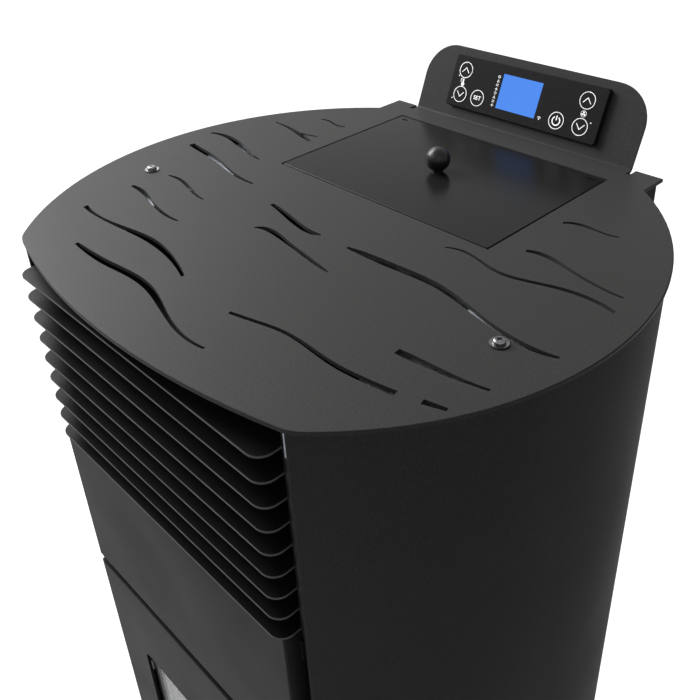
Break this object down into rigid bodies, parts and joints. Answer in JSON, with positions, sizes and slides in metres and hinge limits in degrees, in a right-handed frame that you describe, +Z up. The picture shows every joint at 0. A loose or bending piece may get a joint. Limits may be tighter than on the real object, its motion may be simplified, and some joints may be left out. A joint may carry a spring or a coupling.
{
  "type": "pellet stove",
  "caption": "Round-topped wood pellet stove with a slotted top plate, hopper lid, leaning control panel, front louvres, glazed door and ash drawer.",
  "frame": {"origin": "centre of the bounding box at floor level, under the levelling feet", "axes": "+Z up, -Y to the front (door side), +X to the right seen from the front"},
  "size_m": [0.506, 0.504, 0.9949],
  "materials": {
    "paint_anthracite": "textured matt",
    "paint_front": "textured matt",
    "galvanised": "satin",
    "frame_steel": "matt",
    "firebox_steel": "matt heat-proof",
    "vermiculite": "rough",
    "stainless": "satin",
    "knob_plastic": "gloss",
    "black_plastic": "gloss",
    "matt_plastic": "matt",
    "key_plastic": "satin",
    "lcd": "lit",
    "rope_seal": "woven glass rope",
    "glass": "clear ceramic glass",
    "circuit_board": "satin",
    "motor": "satin"
  },
  "bodies": {
    "stove_body": {"top_plate": "paint_anthracite", "lid_seal": "rope_seal", "top_screws": "stainless", "control_housing": "black_plastic", "lcd_screen": "lcd", "left_side_panel": "paint_anthracite", "right_side_panel": "paint_anthracite", "rear_casing": "paint_anthracite", "base_plate": "frame_steel", "levelling_feet": "matt_plastic", "inner_frame": "frame_steel", "louvre_frame": "frame_steel", "upper_front_panel": "paint_front", "lower_front_panel": "paint_front", "firebox": "firebox_steel", "fireback": "vermiculite", "pot_holder": "firebox_steel", "igniter": "stainless", "heat_exchanger": "galvanised", "smoke_duct": "galvanised", "smoke_fan_housing": "motor", "flue_spigot": "firebox_steel", "air_intake_pipe": "galvanised", "room_fan_housing": "galvanised", "hopper": "galvanised", "auger_tube": "firebox_steel", "auger_gearmotor": "motor", "control_board": "circuit_board", "mains_inlet": "matt_plastic", "louvre_fin_1": "paint_front", "louvre_fin_2": "paint_front", "louvre_fin_3": "paint_front", "louvre_fin_4": "paint_front", "louvre_fin_5": "paint_front", "louvre_fin_6": "paint_front", "louvre_fin_7": "paint_front", "louvre_fin_8": "paint_front", "louvre_fin_9": "paint_front"},
    "lid": {"hopper_lid": "paint_anthracite", "lid_knob": "knob_plastic", "lid_hinge_pins": "stainless"},
    "door": {"door_skin": "paint_front", "door_frame": "firebox_steel", "door_glass": "glass", "door_seal": "rope_seal", "glass_clips": "stainless", "door_hinge_pins": "stainless"},
    "handle": {"door_handle": "stainless"},
    "drawer": {"ash_drawer": "paint_front"},
    "pot": {"burn_pot": "stainless"},
    "auger": {"auger_screw": "stainless"},
    "smoke_fan": {"smoke_fan_impeller": "stainless"},
    "room_fan": {"room_fan_rotor": "galvanised"},
    "rocker": {"rocker_switch": "matt_plastic"},
    "key_up_left": {"key_up_left": "key_plastic"},
    "key_down_left": {"key_down_left": "key_plastic"},
    "key_set": {"key_set": "key_plastic"},
    "key_power": {"key_power": "key_plastic"},
    "key_up_right": {"key_up_right": "key_plastic"},
    "key_down_right": {"key_down_right": "key_plastic"}
  },
  "joints": [
    {"name": "lid_hinge", "type": "hinge", "parent": "stove_body", "child": "lid", "pos_m": [0, 0.1675, 0.9235], "axis": [-1, 0, 0], "range_deg": [0, 80]},
    {"name": "door_hinge", "type": "hinge", "parent": "stove_body", "child": "door", "pos_m": [-0.144, -0.217, 0.4065], "axis": [0, 0, -1], "range_deg": [0, 100]},
    {"name": "handle_turn", "type": "hinge", "parent": "door", "child": "handle", "pos_m": [0.13, -0.224, 0.4065], "axis": [0, -1, 0], "range_deg": [0, 60]},
    {"name": "drawer_slide", "type": "slide", "parent": "stove_body", "child": "drawer", "axis": [0, -1, 0], "range_m": [0, 0.15]},
    {"name": "pot_lift", "type": "slide", "parent": "stove_body", "child": "pot", "axis": [0, 0, 1], "range_m": [0, 0.05]},
    {"name": "auger_spin", "type": "hinge", "parent": "stove_body", "child": "auger", "pos_m": [0, 0.108, 0.48], "axis": [0, -0.766, 0.6428], "continuous": true},
    {"name": "smoke_fan_spin", "type": "hinge", "parent": "stove_body", "child": "smoke_fan", "pos_m": [0, 0.06, 0.17], "axis": [1, 0, 0], "continuous": true},
    {"name": "room_fan_spin", "type": "hinge", "parent": "stove_body", "child": "room_fan", "pos_m": [0, 0.055, 0.33], "axis": [1, 0, 0], "continuous": true},
    {"name": "rocker_tilt", "type": "hinge", "parent": "stove_body", "child": "rocker", "pos_m": [-0.105, 0.206, 0.111], "axis": [1, 0, 0], "range_deg": [0, 16]},
    {"name": "key_up_left_press", "type": "slide", "parent": "stove_body", "child": "key_up_left", "axis": [0, 0.9272, -0.3746], "range_m": [0, 0.0005], "stiffness_N_per_m": 600, "springref_m": -0.0005},
    {"name": "key_down_left_press", "type": "slide", "parent": "stove_body", "child": "key_down_left", "axis": [0, 0.9272, -0.3746], "range_m": [0, 0.0005], "stiffness_N_per_m": 600, "springref_m": -0.0005},
    {"name": "key_set_press", "type": "slide", "parent": "stove_body", "child": "key_set", "axis": [0, 0.9272, -0.3746], "range_m": [0, 0.0005], "stiffness_N_per_m": 600, "springref_m": -0.0005},
    {"name": "key_power_press", "type": "slide", "parent": "stove_body", "child": "key_power", "axis": [0, 0.9272, -0.3746], "range_m": [0, 0.0005], "stiffness_N_per_m": 600, "springref_m": -0.0005},
    {"name": "key_up_right_press", "type": "slide", "parent": "stove_body", "child": "key_up_right", "axis": [0, 0.9272, -0.3746], "range_m": [0, 0.0005], "stiffness_N_per_m": 600, "springref_m": -0.0005},
    {"name": "key_down_right_press", "type": "slide", "parent": "stove_body", "child": "key_down_right", "axis": [0, 0.9272, -0.3746], "range_m": [0, 0.0005], "stiffness_N_per_m": 600, "springref_m": -0.0005}
  ]
}
